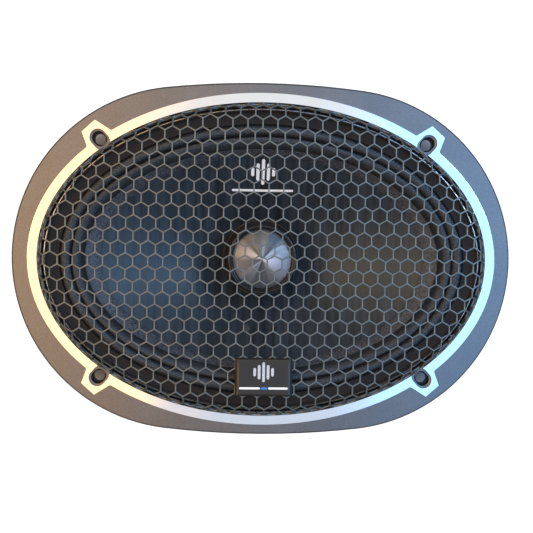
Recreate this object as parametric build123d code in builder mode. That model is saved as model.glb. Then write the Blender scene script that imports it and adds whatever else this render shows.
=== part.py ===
"""Oval coaxial car speaker, in millimetres.

The origin is the centre of the mounting plane, which is the flange's rear face.
+X runs along the long side of the oval, +Z points out of the front.
"""
import math
import os

from build123d import *

os.makedirs("parts", exist_ok=True)

# ---- driving dimensions -------------------------------------------------------------------
# flange: two side arcs joined by two flatter arcs
FLANGE_HALF_X = 119.2
FLANGE_HALF_Y = 84.2
FLANGE_SIDE_R = 82.0
FLANGE_Z = 5.0
FLANGE_CHAMFER = 0.8

# every oval round the cone is an ellipse with half sizes a and a - OVALITY
OVALITY = 32.3
RING_OUTER = 111.7
RING_INNER = 107.2
RING_SEAT_Z = 3.6
RING_TOP_Z = 5.6
POCKET_Z = 1.2
BUCKET_OUTER = 104.0
BUCKET_INNER = 97.8
LIP_Z = -2.0

# mounting screws, their slots in the ring and their pockets in the basket
HOLE_X = 78.0
HOLE_Y = 56.5
HOLE_R = 2.6
SLOT_ANGLE = 48.0
SLOT_R = 4.0
SLOT_OUT = 0.8
SLOT_IN = 1.8
SCREW_POCKET_R = 3.2
SCREW_POCKET_Z = 2.2
RELIEF_R = 1.5
RELIEF_IN = 2.0
EAR_POINTS = [(69.0, 58.4), (80.0, 65.3), (86.2, 59.7), (83.0, 51.0)]
EAR_FILLET = 1.0

# basket bucket: windows between spokes, given as (angle, width)
WINDOW_X = 92.0
WINDOW_Y = 66.5
WINDOW_R = 57.0
SPOKES = [(30, 11), (75, 9), (105, 9), (150, 11), (210, 11), (270, 36), (330, 11)]
SHELF_Z = -36.0
SHELF_R = 44.3
SHELF_WALL_R = 48.0
DRUM_R = 51.5
MOTOR_Z = -48.0
SEAT_T = 3.0
SEAT_BORE_R = 24.0

# foam seal under the flange
SEAL_INNER = 105.0
SEAL_OUTER = 108.0
SEAL_T = 1.5

# grille: (oval, height) points of its rolled shoulder, from the upright skirt to the flat top
GRILLE_TOP_Z = 11.6
SHEET_T = 1.0
GRILLE_SKIRT = 106.9
GRILLE_SKIRT_Z = 6.4
GRILLE_PROFILE = [(GRILLE_SKIRT, GRILLE_SKIRT_Z), (106.2, 8.9), (104.6, 10.7), (101.6, GRILLE_TOP_Z)]
CELL_PITCH = 7.0
CELL_ROW = 5.95
CELL_STRAND = 1.05
CELL_ORIGIN = (-1.7, -1.4)
CELL_FIELD = 97.0

# badge and its generic mark of bars over a line
BADGE_X, BADGE_Y = 0.7, -54.9
BADGE_W, BADGE_H, BADGE_T = 26.9, 18.0, 2.0
BADGE_EDGE = 0.9
MARK_T = 0.25
BAR_HEIGHTS = [2.4, 4.6, 6.6, 4.6, 2.4]
BAR_W, BAR_PITCH = 0.9, 1.7
BAR_Y = 2.4
LINE_W, LINE_H, LINE_Y = 17.0, 0.8, -4.4

# cone and its suspension
CONE_EDGE = 86.0
CONE_EDGE_Z = -0.5
CONE_NECK_R = 19.9
CONE_NECK_Z = -32.0
CONE_T = 1.0
GASKET_OUTER = 104.3
GASKET_INNER = 97.2
GASKET_T = 1.1
BEAD_R = 0.9
ROLL_T = 0.6
ROLL_PITCH = 5.5
ROLL_RISE = 2.0
SPIDER_R = 47.6
SPIDER_T = 0.6
SPIDER_WAVE = 1.3
SPIDER_COLLAR_R = 23.0

# voice coil and motor
FORMER_BORE_R, FORMER_R = 19.1, 19.4
FORMER_TOP_Z, FORMER_BOTTOM_Z = -31.0, -57.0
WINDING_R = 19.9
WINDING_H = 10.0
DUST_RING_BORE_R = 7.0
DUST_RING_T = 1.2
POLE_R = 18.7
GAP_R = 20.4
TOP_PLATE_T = 6.0
MAGNET_T = 17.0
BACK_PLATE_T = 6.0
PLATE_R = 48.0
MAGNET_R = 50.0
MAGNET_BORE_R = 28.0
BOOT_R = 52.0
BOOT_LIP = 3.2
SCREW_CIRCLE_R = 36.0
SCREW_R = 2.0
SCREW_HEAD_R = 3.8
SCREW_HEAD_H = 2.2
SCREW_L = 7.0

# tweeter and the hollow bolt that carries it
POST_R = 5.0
POST_BORE_R = 3.0
POST_FLANGE_R = 9.0
POST_FLANGE_T = 2.0
NUT_FLATS = 13.0
NUT_T = 5.0
COUNTERBORE_R = 9.5
COUNTERBORE_H = 9.0
CUP_R = 17.2
CUP_BORE_R = 15.4
CUP_BOTTOM_Z = -25.0
CUP_TOP_Z = -9.0
CUP_FLOOR_T = 2.0
YOKE_R, YOKE_BORE_R = 15.1, 13.4
YOKE_TOP_Z = -11.2
YOKE_LIP_R = 14.4
TWEETER_MAGNET_R = 10.5
TWEETER_PLATE_R = 12.0
TWEETER_PLATE_T = 2.0
TWEETER_PLATE_Z = -13.2
TWEETER_COIL_R, TWEETER_COIL_BORE_R = 12.95, 12.35
TWEETER_COIL_H = 6.4
DOME_R = 13.9
DOME_BASE_Z = -10.6
DOME_RISE = 5.5
DOME_T = 0.6
EDGE_T = 0.3
EDGE_R = 15.3
BEZEL_BORE_R = 14.5
BEZEL_TOP_Z = -6.8

# terminals, filter and wires
BOSS_W, BOSS_Y, BOSS_Z = 34.0, -68.0, -24.0
BOARD_W, BOARD_T = 30.0, 2.0
BOARD_TOP_Z, BOARD_BOTTOM_Z = -7.0, -23.5
TERMINAL_X = 7.0
TERMINAL_Z = -12.0
TERMINAL_T = 0.8
TERMINAL_TIP_Y = -55.6
TERMINAL_BEND_Y = -74.5
TERMINAL_END_Z = -22.0
TERMINAL_WIDTHS = {-1: 6.3, 1: 4.8}
PORT_W, PORT_H = 24.0, 6.0
RIVET_X, RIVET_Z, RIVET_R = 11.5, -20.0, 1.5
RIVET_HEAD_R, RIVET_HEAD_T = 2.6, 1.0
RIVET_END_Y = -60.0
WIRE_R = 0.6
WIRE_Y = -58.0
WIRE_X = 1.2
TINSEL_R = 0.8
TINSEL_LOW_Z = -27.5
TINSEL_BEND = 20.0
WIRE_BEND = 3.0
EYELET_R = 1.6
EYELET_Y, EYELET_Z = -35.5, -22.0
CAPACITOR_R, CAPACITOR_L = 5.0, 20.0
CAPACITOR_Z = -42.0
CAPACITOR_LEAD = 2.4
CLIP_R, CLIP_W = 6.4, 6.0
GROOVE_W, GROOVE_H = 4.0, 2.4

# ---- derived places -----------------------------------------------------------------------
top_plate_z = MOTOR_Z - TOP_PLATE_T
magnet_z = top_plate_z - MAGNET_T
back_z = magnet_z - BACK_PLATE_T
nut_seat_z = back_z + COUNTERBORE_H
post_flange_z = CUP_BOTTOM_Z - POST_FLANGE_T
post_end_z = nut_seat_z - NUT_T
cup_floor_z = CUP_BOTTOM_Z + CUP_FLOOR_T
yoke_floor_z = cup_floor_z + CUP_FLOOR_T
groove_z = back_z + GROOVE_H - 1.0
capacitor_x = -WIRE_X - WIRE_R
corners = [(sx, sy) for sx in (1, -1) for sy in (1, -1)]


# ---- shared shapes ------------------------------------------------------------------------
def ellipse_face(half_x, half_y, z):
    """A flat elliptical face at one height."""
    with BuildSketch(Plane.XY.offset(z), mode=Mode.PRIVATE) as outline:
        Ellipse(half_x, half_y)
    return outline.sketch.face()


def oval_face(a, z):
    """One ellipse of the family that runs round the cone."""
    return ellipse_face(a, a - OVALITY, z)


def oval_path(a):
    """The edge of one ellipse of the family, to sweep a section along."""
    return Edge.make_ellipse(a, a - OVALITY)


def ring_outline():
    """The trim ring's outer outline, an ellipse with four ears."""
    with BuildSketch(mode=Mode.PRIVATE) as outline:
        Ellipse(RING_OUTER, RING_OUTER - OVALITY)
        for sx, sy in corners:
            with BuildLine():
                Polyline([(sx * x, sy * y) for x, y in EAR_POINTS], close=True)
            make_face()
        ear_corners = outline.vertices().filter_by(lambda v: abs(v.Y) > EAR_FILLET)
        fillet(ear_corners, radius=EAR_FILLET)
    return outline.sketch


def slots(radius, outer, inner):
    """Four obrounds along the slot axes, from outer to inner of each screw's centre."""
    middle = (outer - inner) / 2
    for sx, sy in corners:
        x = sx * (HOLE_X + middle * math.cos(math.radians(SLOT_ANGLE)))
        y = sy * (HOLE_Y + middle * math.sin(math.radians(SLOT_ANGLE)))
        with Locations((x, y)):
            SlotCenterToCenter(outer + inner, 2 * radius, rotation=SLOT_ANGLE * sx * sy)


def strip(points, bulges, thickness):
    """A band in x and z through these points; each span is an arc that bulges upwards."""
    with BuildSketch(mode=Mode.PRIVATE) as band:
        with BuildLine():
            for lift in (0, thickness):
                for (x1, z1), (x2, z2), bulge in zip(points, points[1:], bulges):
                    start, end = (x1, z1 + lift), (x2, z2 + lift)
                    if bulge:
                        ThreePointArc(start, ((x1 + x2) / 2, (z1 + z2) / 2 + lift + bulge), end)
                    else:
                        Line(start, end)
            for x, z in (points[0], points[-1]):
                Line((x, z), (x, z + thickness))
        make_face()
    return band.sketch


def wire(points, radius, largest_bend):
    """A round wire along straight runs joined by arcs, as large as the runs or the bend allow."""
    spots = [Vector(*p) for p in points]
    radii = []
    for before, here, after in zip(spots, spots[1:], spots[2:]):
        turn = math.radians((here - before).get_angle(after - here))
        shorter = min((here - before).length, (after - here).length)
        radii.append(min(0.45 * shorter / math.tan(turn / 2), largest_bend))
    with BuildPart(mode=Mode.PRIVATE) as strand:
        with BuildLine() as route:
            FilletPolyline(*spots, radius=radii)
        with BuildSketch(Plane(origin=route.line @ 0, z_dir=route.line % 0)):
            Circle(radius)
        sweep()
    return strand.part


# ---- basket -------------------------------------------------------------------------------
side_x = FLANGE_HALF_X - FLANGE_SIDE_R
rise = FLANGE_HALF_Y - FLANGE_SIDE_R
flat_centre = (side_x**2 - rise**2) / (2 * rise)
join = Vector(side_x, flat_centre).normalized() * (flat_centre + FLANGE_HALF_Y)
join_x, join_y = join.X, join.Y - flat_centre

with BuildPart() as basket:
    with BuildSketch():
        with BuildLine():
            ThreePointArc((-join_x, join_y), (0, FLANGE_HALF_Y), (join_x, join_y))
            ThreePointArc((join_x, join_y), (FLANGE_HALF_X, 0), (join_x, -join_y))
            ThreePointArc((join_x, -join_y), (0, -FLANGE_HALF_Y), (-join_x, -join_y))
            ThreePointArc((-join_x, -join_y), (-FLANGE_HALF_X, 0), (-join_x, join_y))
        make_face()
    extrude(amount=FLANGE_Z)
    chamfer(basket.edges().group_by(Axis.Z)[-1], length=FLANGE_CHAMFER)
    with BuildSketch(Plane.XY.offset(RING_SEAT_Z)):
        add(ring_outline())
    extrude(amount=FLANGE_Z, mode=Mode.SUBTRACT)
    with BuildSketch(Plane.XY.offset(POCKET_Z)):
        Ellipse(RING_INNER, RING_INNER - OVALITY)
    extrude(amount=FLANGE_Z, mode=Mode.SUBTRACT)

    # bucket and drum
    loft([oval_face(BUCKET_OUTER, 0), ellipse_face(DRUM_R, DRUM_R, SHELF_Z)])
    with BuildSketch(Plane.XY.offset(MOTOR_Z)):
        Circle(DRUM_R)
    extrude(amount=SHELF_Z - MOTOR_Z)

    # boss that carries the terminal board
    with BuildSketch(Plane.XY.offset(BOSS_Z)):
        with Locations((0, BOSS_Y)):
            Rectangle(BOSS_W, -BOSS_Y - WINDOW_R, align=(Align.CENTER, Align.MIN))
    extrude(amount=-BOSS_Z)

    # hollow inside
    loft(
        [oval_face(BUCKET_INNER, LIP_Z), ellipse_face(SHELF_WALL_R, SHELF_WALL_R, SHELF_Z)],
        mode=Mode.SUBTRACT,
    )
    with BuildSketch(Plane.XY.offset(LIP_Z)):
        Ellipse(BUCKET_INNER, BUCKET_INNER - OVALITY)
    extrude(amount=FLANGE_Z - LIP_Z, mode=Mode.SUBTRACT)
    with BuildSketch(Plane.XY.offset(MOTOR_Z + SEAT_T)):
        Circle(SHELF_R)
    extrude(amount=-MOTOR_Z, mode=Mode.SUBTRACT)
    with BuildSketch(Plane.XY.offset(MOTOR_Z)):
        Circle(SEAT_BORE_R)
    extrude(amount=SEAT_T, mode=Mode.SUBTRACT)

    # windows between the spokes
    with BuildSketch(Plane.XY.offset(LIP_Z)):
        Ellipse(WINDOW_X, WINDOW_Y)
        Circle(WINDOW_R, mode=Mode.SUBTRACT)
        for angle, width in SPOKES:
            with Locations(Rotation(0, 0, angle)):
                Rectangle(WINDOW_X, width, align=(Align.MIN, Align.CENTER), mode=Mode.SUBTRACT)
    extrude(amount=SHELF_Z - LIP_Z, mode=Mode.SUBTRACT)

    # screw pockets and keyhole screw holes
    with BuildSketch(Plane.XY.offset(SCREW_POCKET_Z)):
        slots(SCREW_POCKET_R, SLOT_OUT, RELIEF_IN - RELIEF_R)
    extrude(amount=FLANGE_Z, mode=Mode.SUBTRACT)
    with BuildSketch():
        with GridLocations(2 * HOLE_X, 2 * HOLE_Y, 2, 2):
            Circle(HOLE_R)
        slots(RELIEF_R, 0, RELIEF_IN)
    extrude(amount=SCREW_POCKET_Z, mode=Mode.SUBTRACT)

    # motor screw holes, rivet holes and the port for the terminals
    with BuildSketch(Plane.XY.offset(MOTOR_Z)):
        with PolarLocations(SCREW_CIRCLE_R, 4, start_angle=45):
            Circle(SCREW_R + 0.2)
    extrude(amount=SEAT_T, mode=Mode.SUBTRACT)
    with BuildSketch(Plane.XZ.offset(-RIVET_END_Y)):
        with Locations((-RIVET_X, RIVET_Z), (RIVET_X, RIVET_Z)):
            Circle(RIVET_R)
    extrude(amount=RIVET_END_Y - BOSS_Y, mode=Mode.SUBTRACT)
    with BuildSketch(Plane.XZ.offset(-BOSS_Y)):
        with Locations((0, TERMINAL_Z)):
            Rectangle(PORT_W, PORT_H)
    extrude(amount=BOSS_Y - TERMINAL_TIP_Y, mode=Mode.SUBTRACT)

# ---- trim ring, grille and badge ----------------------------------------------------------
with BuildPart() as trim_ring:
    with BuildSketch(Plane.XY.offset(RING_SEAT_Z)):
        add(ring_outline())
    extrude(amount=RING_TOP_Z - RING_SEAT_Z)
    with BuildSketch(Plane.XY.offset(RING_SEAT_Z)):
        slots(SLOT_R, SLOT_OUT, SLOT_IN)
    extrude(amount=RING_TOP_Z - RING_SEAT_Z, mode=Mode.SUBTRACT)
    with BuildSketch(Plane.XY.offset(RING_SEAT_Z)):
        Ellipse(RING_INNER, RING_INNER - OVALITY)
    extrude(amount=RING_TOP_Z - RING_SEAT_Z, mode=Mode.SUBTRACT)

with BuildPart() as grille:
    inside = [(a - SHEET_T, z) for a, z in GRILLE_PROFILE]
    inside[-2:] = [(a - SHEET_T, z - SHEET_T) for a, z in GRILLE_PROFILE[-2:]]
    for profile, action in ((GRILLE_PROFILE, Mode.ADD), (inside, Mode.SUBTRACT)):
        loft([oval_face(a, z) for a, z in profile], ruled=True, mode=action)
        with BuildSketch(Plane.XY.offset(POCKET_Z)):
            Ellipse(profile[0][0], profile[0][0] - OVALITY)
        extrude(amount=GRILLE_SKIRT_Z - POCKET_Z, mode=action)

    cell_r = (CELL_PITCH - CELL_STRAND) / math.sqrt(3)
    rows = math.ceil(CELL_FIELD / CELL_ROW)
    columns = math.ceil(CELL_FIELD / CELL_PITCH)
    centres = []
    for row in range(-rows, rows + 1):
        for column in range(-columns, columns + 1):
            x = CELL_ORIGIN[0] + (column + 0.5 * (row % 2)) * CELL_PITCH
            y = CELL_ORIGIN[1] + row * CELL_ROW
            if (x / CELL_FIELD) ** 2 + (y / (CELL_FIELD - OVALITY)) ** 2 < 1:
                centres.append((x, y))
    with BuildSketch(Plane.XY.offset(GRILLE_TOP_Z)):
        with Locations(*centres):
            RegularPolygon(cell_r, 6, rotation=30)
    extrude(amount=-2 * SHEET_T, mode=Mode.SUBTRACT)

with BuildPart() as badge_plate:
    with BuildSketch(Plane.XY.offset(GRILLE_TOP_Z)):
        with Locations((BADGE_X, BADGE_Y)):
            RectangleRounded(BADGE_W, BADGE_H, BADGE_EDGE)
    extrude(amount=BADGE_T)
    fillet(badge_plate.edges().group_by(Axis.Z)[-1], radius=BADGE_EDGE)

with BuildPart() as badge_mark:
    with BuildSketch(Plane.XY.offset(GRILLE_TOP_Z + BADGE_T)):
        for i, height in enumerate(BAR_HEIGHTS):
            bar_x = BADGE_X + (i - (len(BAR_HEIGHTS) - 1) / 2) * BAR_PITCH
            with Locations((bar_x, BADGE_Y + BAR_Y)):
                RectangleRounded(BAR_W, height, BAR_W / 2 - 0.01)
        with Locations((BADGE_X, BADGE_Y + LINE_Y)):
            Rectangle(LINE_W, LINE_H)
    extrude(amount=MARK_T)

# ---- gaskets ------------------------------------------------------------------------------
with BuildPart() as surround_gasket:
    with BuildSketch(Plane.XZ):
        gasket_z = POCKET_Z + ROLL_T
        with Locations((GASKET_INNER, gasket_z)):
            Rectangle(GASKET_OUTER - GASKET_INNER, GASKET_T, align=(Align.MIN, Align.MIN))
        with Locations((GASKET_OUTER - BEAD_R, gasket_z + BEAD_R)):
            Circle(BEAD_R)
    sweep(path=oval_path((GASKET_INNER + GASKET_OUTER) / 2))

with BuildPart() as mounting_gasket:
    with BuildSketch():
        Ellipse(SEAL_OUTER, SEAL_OUTER - OVALITY)
        Ellipse(SEAL_INNER, SEAL_INNER - OVALITY, mode=Mode.SUBTRACT)
    extrude(amount=-SEAL_T)

# ---- cone and suspension ------------------------------------------------------------------
cone_half_y = CONE_EDGE - OVALITY
with BuildPart() as cone:
    for drop, action in ((CONE_T, Mode.ADD), (0, Mode.SUBTRACT)):
        loft(
            [
                ellipse_face(CONE_EDGE, cone_half_y, CONE_EDGE_Z - drop),
                ellipse_face(CONE_NECK_R, CONE_NECK_R, CONE_NECK_Z - drop),
            ],
            mode=action,
        )
    with BuildSketch(Plane.XY.offset(CONE_NECK_Z - 2 * CONE_T)):
        Circle(FORMER_R)
    extrude(amount=3 * CONE_T, mode=Mode.SUBTRACT)

with BuildPart() as surround:
    roll_middle = GASKET_INNER - ROLL_PITCH
    with BuildSketch(Plane.XZ):
        roll_points = [
            (GASKET_OUTER, POCKET_Z),
            (GASKET_INNER - 0.2, POCKET_Z),
            (roll_middle, POCKET_Z - 0.4),
            (CONE_EDGE + 0.2, CONE_EDGE_Z - CONE_T),
        ]
        add(strip(roll_points, [0, ROLL_RISE, ROLL_RISE], ROLL_T))
    sweep(path=oval_path(roll_middle))

with BuildPart() as spider:
    waves = 7
    wave_w = (SHELF_R - SPIDER_COLLAR_R - 0.3) / waves
    wave_xs = [SPIDER_COLLAR_R + i * wave_w for i in range(waves + 1)]
    with BuildSketch(Plane.XZ):
        spider_points = [(x, SHELF_Z) for x in [FORMER_R, *wave_xs, SPIDER_R]]
        spider_bulges = [0, *[SPIDER_WAVE * (-1) ** i for i in range(waves)], 0]
        add(strip(spider_points, spider_bulges, SPIDER_T))
    revolve()

# ---- voice coil ---------------------------------------------------------------------------
with BuildPart() as voice_coil_former:
    with BuildSketch(Plane.XY.offset(FORMER_BOTTOM_Z)):
        Circle(FORMER_R)
        Circle(FORMER_BORE_R, mode=Mode.SUBTRACT)
    extrude(amount=FORMER_TOP_Z - FORMER_BOTTOM_Z)

with BuildPart() as voice_coil_winding:
    winding_z = MOTOR_Z - (TOP_PLATE_T + WINDING_H) / 2
    with BuildSketch(Plane.XY.offset(winding_z)):
        Circle(WINDING_R)
        Circle(FORMER_R, mode=Mode.SUBTRACT)
    extrude(amount=WINDING_H)

with BuildPart() as dust_ring:
    with BuildSketch(Plane.XY.offset(CONE_NECK_Z - CONE_T)):
        Circle(FORMER_BORE_R)
        Circle(DUST_RING_BORE_R, mode=Mode.SUBTRACT)
    extrude(amount=DUST_RING_T)

# ---- motor --------------------------------------------------------------------------------
with BuildPart() as top_plate:
    with BuildSketch(Plane.XY.offset(top_plate_z)):
        Circle(PLATE_R)
        Circle(GAP_R, mode=Mode.SUBTRACT)
        with PolarLocations(SCREW_CIRCLE_R, 4, start_angle=45):
            Circle(SCREW_R, mode=Mode.SUBTRACT)
    extrude(amount=TOP_PLATE_T)

with BuildPart() as magnet:
    with BuildSketch(Plane.XY.offset(magnet_z)):
        Circle(MAGNET_R)
        Circle(MAGNET_BORE_R, mode=Mode.SUBTRACT)
    extrude(amount=MAGNET_T)
    chamfer(magnet.edges().filter_by(GeomType.CIRCLE).sort_by(SortBy.RADIUS)[-2:], length=1)

with BuildPart() as pole_yoke:
    with BuildSketch(Plane.XY.offset(back_z)):
        Circle(PLATE_R)
    extrude(amount=BACK_PLATE_T)
    chamfer(pole_yoke.edges().group_by(Axis.Z)[0], length=1)
    with BuildSketch(Plane.XY.offset(magnet_z)):
        Circle(POLE_R)
    extrude(amount=MOTOR_Z - magnet_z)
    with BuildSketch(Plane.XY.offset(back_z)):
        Circle(COUNTERBORE_R)
    extrude(amount=COUNTERBORE_H, mode=Mode.SUBTRACT)
    with BuildSketch(Plane.XY.offset(nut_seat_z)):
        Circle(POST_R + 0.1)
    extrude(amount=MOTOR_Z - nut_seat_z, mode=Mode.SUBTRACT)
    with BuildSketch(Plane.XY.offset(back_z)):
        Rectangle(GROOVE_W, PLATE_R + 1, align=(Align.CENTER, Align.MAX))
    extrude(amount=GROOVE_H, mode=Mode.SUBTRACT)

with BuildPart() as magnet_boot:
    with BuildSketch(Plane.XZ):
        with BuildLine():
            Polyline(
                (PLATE_R, magnet_z - BOOT_LIP),
                (BOOT_R - 1, magnet_z - BOOT_LIP),
                (BOOT_R, magnet_z - BOOT_LIP + 1),
                (BOOT_R, top_plate_z + BOOT_LIP - 1),
                (BOOT_R - 1, top_plate_z + BOOT_LIP),
                (PLATE_R, top_plate_z + BOOT_LIP),
                (PLATE_R, top_plate_z),
                (MAGNET_R, top_plate_z),
                (MAGNET_R, magnet_z),
                (PLATE_R, magnet_z),
                close=True,
            )
        make_face()
    revolve()

with BuildPart() as top_plate_screws:
    screw_head_z = MOTOR_Z + SEAT_T
    with BuildSketch(Plane.XY.offset(screw_head_z - SCREW_L)):
        with PolarLocations(SCREW_CIRCLE_R, 4, start_angle=45):
            Circle(SCREW_R)
    extrude(amount=SCREW_L)
    with BuildSketch(Plane.XY.offset(screw_head_z)):
        with PolarLocations(SCREW_CIRCLE_R, 4, start_angle=45):
            Circle(SCREW_HEAD_R)
    extrude(amount=SCREW_HEAD_H)
    chamfer(top_plate_screws.edges().group_by(Axis.Z)[-1], length=0.8)
    with BuildSketch(Plane.XY.offset(screw_head_z + SCREW_HEAD_H)):
        with PolarLocations(SCREW_CIRCLE_R, 4, start_angle=45):
            RegularPolygon(1.5, 6)
    extrude(amount=-1.4, mode=Mode.SUBTRACT)

# ---- tweeter ------------------------------------------------------------------------------
with BuildPart() as tweeter_post:
    with BuildSketch(Plane.XY.offset(post_end_z)):
        Circle(POST_R)
    extrude(amount=post_flange_z - post_end_z)
    with BuildSketch(Plane.XY.offset(post_flange_z)):
        Circle(POST_FLANGE_R)
    extrude(amount=POST_FLANGE_T)
    with BuildSketch(Plane.XY.offset(post_end_z)):
        Circle(POST_BORE_R)
    extrude(amount=CUP_BOTTOM_Z - post_end_z, mode=Mode.SUBTRACT)

with BuildPart() as post_nut:
    with BuildSketch(Plane.XY.offset(post_end_z)):
        RegularPolygon(NUT_FLATS / math.sqrt(3), 6)
        Circle(POST_R, mode=Mode.SUBTRACT)
    extrude(amount=NUT_T)

with BuildPart() as tweeter_cup:
    with BuildSketch(Plane.XY.offset(CUP_BOTTOM_Z)):
        Circle(CUP_R)
    extrude(amount=CUP_TOP_Z - CUP_BOTTOM_Z)
    chamfer(tweeter_cup.edges().group_by(Axis.Z)[0], length=1.5)
    with BuildSketch(Plane.XY.offset(cup_floor_z)):
        Circle(CUP_BORE_R)
    extrude(amount=CUP_TOP_Z - cup_floor_z, mode=Mode.SUBTRACT)
    Hole(POST_BORE_R)

with BuildPart() as tweeter_yoke:
    with BuildSketch(Plane.XZ):
        with BuildLine():
            Polyline(
                (0, cup_floor_z),
                (YOKE_R, cup_floor_z),
                (YOKE_R, DOME_BASE_Z),
                (YOKE_LIP_R, DOME_BASE_Z),
                (YOKE_LIP_R, YOKE_TOP_Z),
                (YOKE_BORE_R, YOKE_TOP_Z),
                (YOKE_BORE_R, yoke_floor_z),
                (0, yoke_floor_z),
                close=True,
            )
        make_face()
    revolve()

tweeter_plate_z = TWEETER_PLATE_Z - TWEETER_PLATE_T
with BuildPart() as tweeter_magnet:
    with BuildSketch(Plane.XY.offset(yoke_floor_z)):
        Circle(TWEETER_MAGNET_R)
    extrude(amount=tweeter_plate_z - yoke_floor_z)

with BuildPart() as tweeter_top_plate:
    with BuildSketch(Plane.XY.offset(tweeter_plate_z)):
        Circle(TWEETER_PLATE_R)
    extrude(amount=TWEETER_PLATE_T)

with BuildPart() as tweeter_coil:
    with BuildSketch(Plane.XY.offset(DOME_BASE_Z)):
        Circle(TWEETER_COIL_R)
        Circle(TWEETER_COIL_BORE_R, mode=Mode.SUBTRACT)
    extrude(amount=-TWEETER_COIL_H)

with BuildPart() as tweeter_dome:
    dome_radius = (DOME_R**2 + DOME_RISE**2) / (2 * DOME_RISE)
    dome_centre_z = DOME_BASE_Z + DOME_RISE - dome_radius
    with BuildSketch(Plane.XY.offset(DOME_BASE_Z)):
        Circle(DOME_R)
    extrude(amount=DOME_RISE)
    with Locations((0, 0, dome_centre_z)):
        Sphere(dome_radius, mode=Mode.INTERSECT)
        Sphere(dome_radius - DOME_T, mode=Mode.SUBTRACT)

with BuildPart() as tweeter_surround:
    with BuildSketch(Plane.XY.offset(DOME_BASE_Z)):
        Circle(EDGE_R)
        Circle(DOME_R, mode=Mode.SUBTRACT)
    extrude(amount=EDGE_T)

with BuildPart() as tweeter_bezel:
    edge_top_z = DOME_BASE_Z + EDGE_T
    with BuildSketch(Plane.XZ):
        with BuildLine():
            Polyline(
                (BEZEL_BORE_R, BEZEL_TOP_Z - 1.6),
                (BEZEL_BORE_R, edge_top_z),
                (EDGE_R, edge_top_z),
                (EDGE_R, CUP_TOP_Z),
                (CUP_R, CUP_TOP_Z),
                (CUP_R, BEZEL_TOP_Z - 1.1),
            )
            ThreePointArc(
                (CUP_R, BEZEL_TOP_Z - 1.1),
                (CUP_R - 0.9, BEZEL_TOP_Z),
                (BEZEL_BORE_R, BEZEL_TOP_Z - 1.6),
            )
        make_face()
    revolve()

# ---- terminals ----------------------------------------------------------------------------
with BuildPart() as terminal_board:
    with BuildSketch(Plane.XZ.offset(-BOSS_Y)):
        with Locations((0, (BOARD_TOP_Z + BOARD_BOTTOM_Z) / 2)):
            RectangleRounded(BOARD_W, BOARD_TOP_Z - BOARD_BOTTOM_Z, 1.5)
        with Locations((-RIVET_X, RIVET_Z), (RIVET_X, RIVET_Z)):
            Circle(RIVET_R, mode=Mode.SUBTRACT)
        for side, width in TERMINAL_WIDTHS.items():
            with Locations((side * TERMINAL_X, TERMINAL_Z)):
                Rectangle(width, TERMINAL_T, mode=Mode.SUBTRACT)
    extrude(amount=BOARD_T)

with BuildPart() as terminal_rivets:
    with BuildSketch(Plane.XZ.offset(-RIVET_END_Y)):
        with Locations((-RIVET_X, RIVET_Z), (RIVET_X, RIVET_Z)):
            Circle(RIVET_R)
    extrude(amount=RIVET_END_Y - BOSS_Y + BOARD_T)
    with BuildSketch(Plane.XZ.offset(BOARD_T - BOSS_Y)):
        with Locations((-RIVET_X, RIVET_Z), (RIVET_X, RIVET_Z)):
            Circle(RIVET_HEAD_R)
    extrude(amount=RIVET_HEAD_T)
    chamfer(terminal_rivets.edges().group_by(Axis.Y)[0], length=0.5)


def blade(side):
    """A spade terminal: flat through the board, then bent down outside it."""
    half_t = TERMINAL_T / 2
    with BuildPart(mode=Mode.PRIVATE) as tab:
        with BuildSketch(Plane.YZ.offset(side * TERMINAL_X)):
            with BuildLine():
                Polyline(
                    (TERMINAL_TIP_Y, TERMINAL_Z - half_t),
                    (TERMINAL_TIP_Y, TERMINAL_Z + half_t),
                    (TERMINAL_BEND_Y, TERMINAL_Z + half_t),
                    (TERMINAL_BEND_Y, TERMINAL_END_Z),
                    (TERMINAL_BEND_Y + TERMINAL_T, TERMINAL_END_Z),
                    (TERMINAL_BEND_Y + TERMINAL_T, TERMINAL_Z - half_t),
                    close=True,
                )
            make_face()
        extrude(amount=TERMINAL_WIDTHS[side] / 2, both=True)
    return tab.part


with BuildPart() as terminal_positive:
    add(blade(-1))

with BuildPart() as terminal_negative:
    add(blade(1))

# ---- flexible leads to the cone -----------------------------------------------------------
with BuildPart() as lead_eyelets:
    with BuildSketch(Plane.XY.offset(EYELET_Z)):
        with Locations((-TERMINAL_X, EYELET_Y), (TERMINAL_X, EYELET_Y)):
            Circle(EYELET_R)
    extrude(amount=-EYELET_Z)
    loft(
        [
            ellipse_face(CONE_EDGE, cone_half_y, CONE_EDGE_Z - CONE_T),
            ellipse_face(CONE_NECK_R, CONE_NECK_R, CONE_NECK_Z - CONE_T),
        ],
        mode=Mode.SUBTRACT,
    )
    with BuildSketch(Plane.XY.offset(CONE_EDGE_Z - CONE_T)):
        Rectangle(4 * TERMINAL_X, -3 * EYELET_Y)
    extrude(amount=-CONE_EDGE_Z + 2 * CONE_T, mode=Mode.SUBTRACT)


def tinsel_route(side):
    """From a terminal's inner end, in a loop below the cone, up to its eyelet."""
    x = side * TERMINAL_X
    return [
        (x, TERMINAL_TIP_Y - TINSEL_R, TERMINAL_Z - TERMINAL_T / 2),
        (x, TERMINAL_TIP_Y - TINSEL_R, TERMINAL_Z - 4.0),
        (x, -51.0, -23.0),
        (x, -43.0, TINSEL_LOW_Z),
        (x, EYELET_Y, TINSEL_LOW_Z),
        (x, EYELET_Y, EYELET_Z),
    ]


with BuildPart() as tinsel_lead_positive:
    add(wire(tinsel_route(-1), TINSEL_R, TINSEL_BEND))

with BuildPart() as tinsel_lead_negative:
    add(wire(tinsel_route(1), TINSEL_R, TINSEL_BEND))

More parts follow.
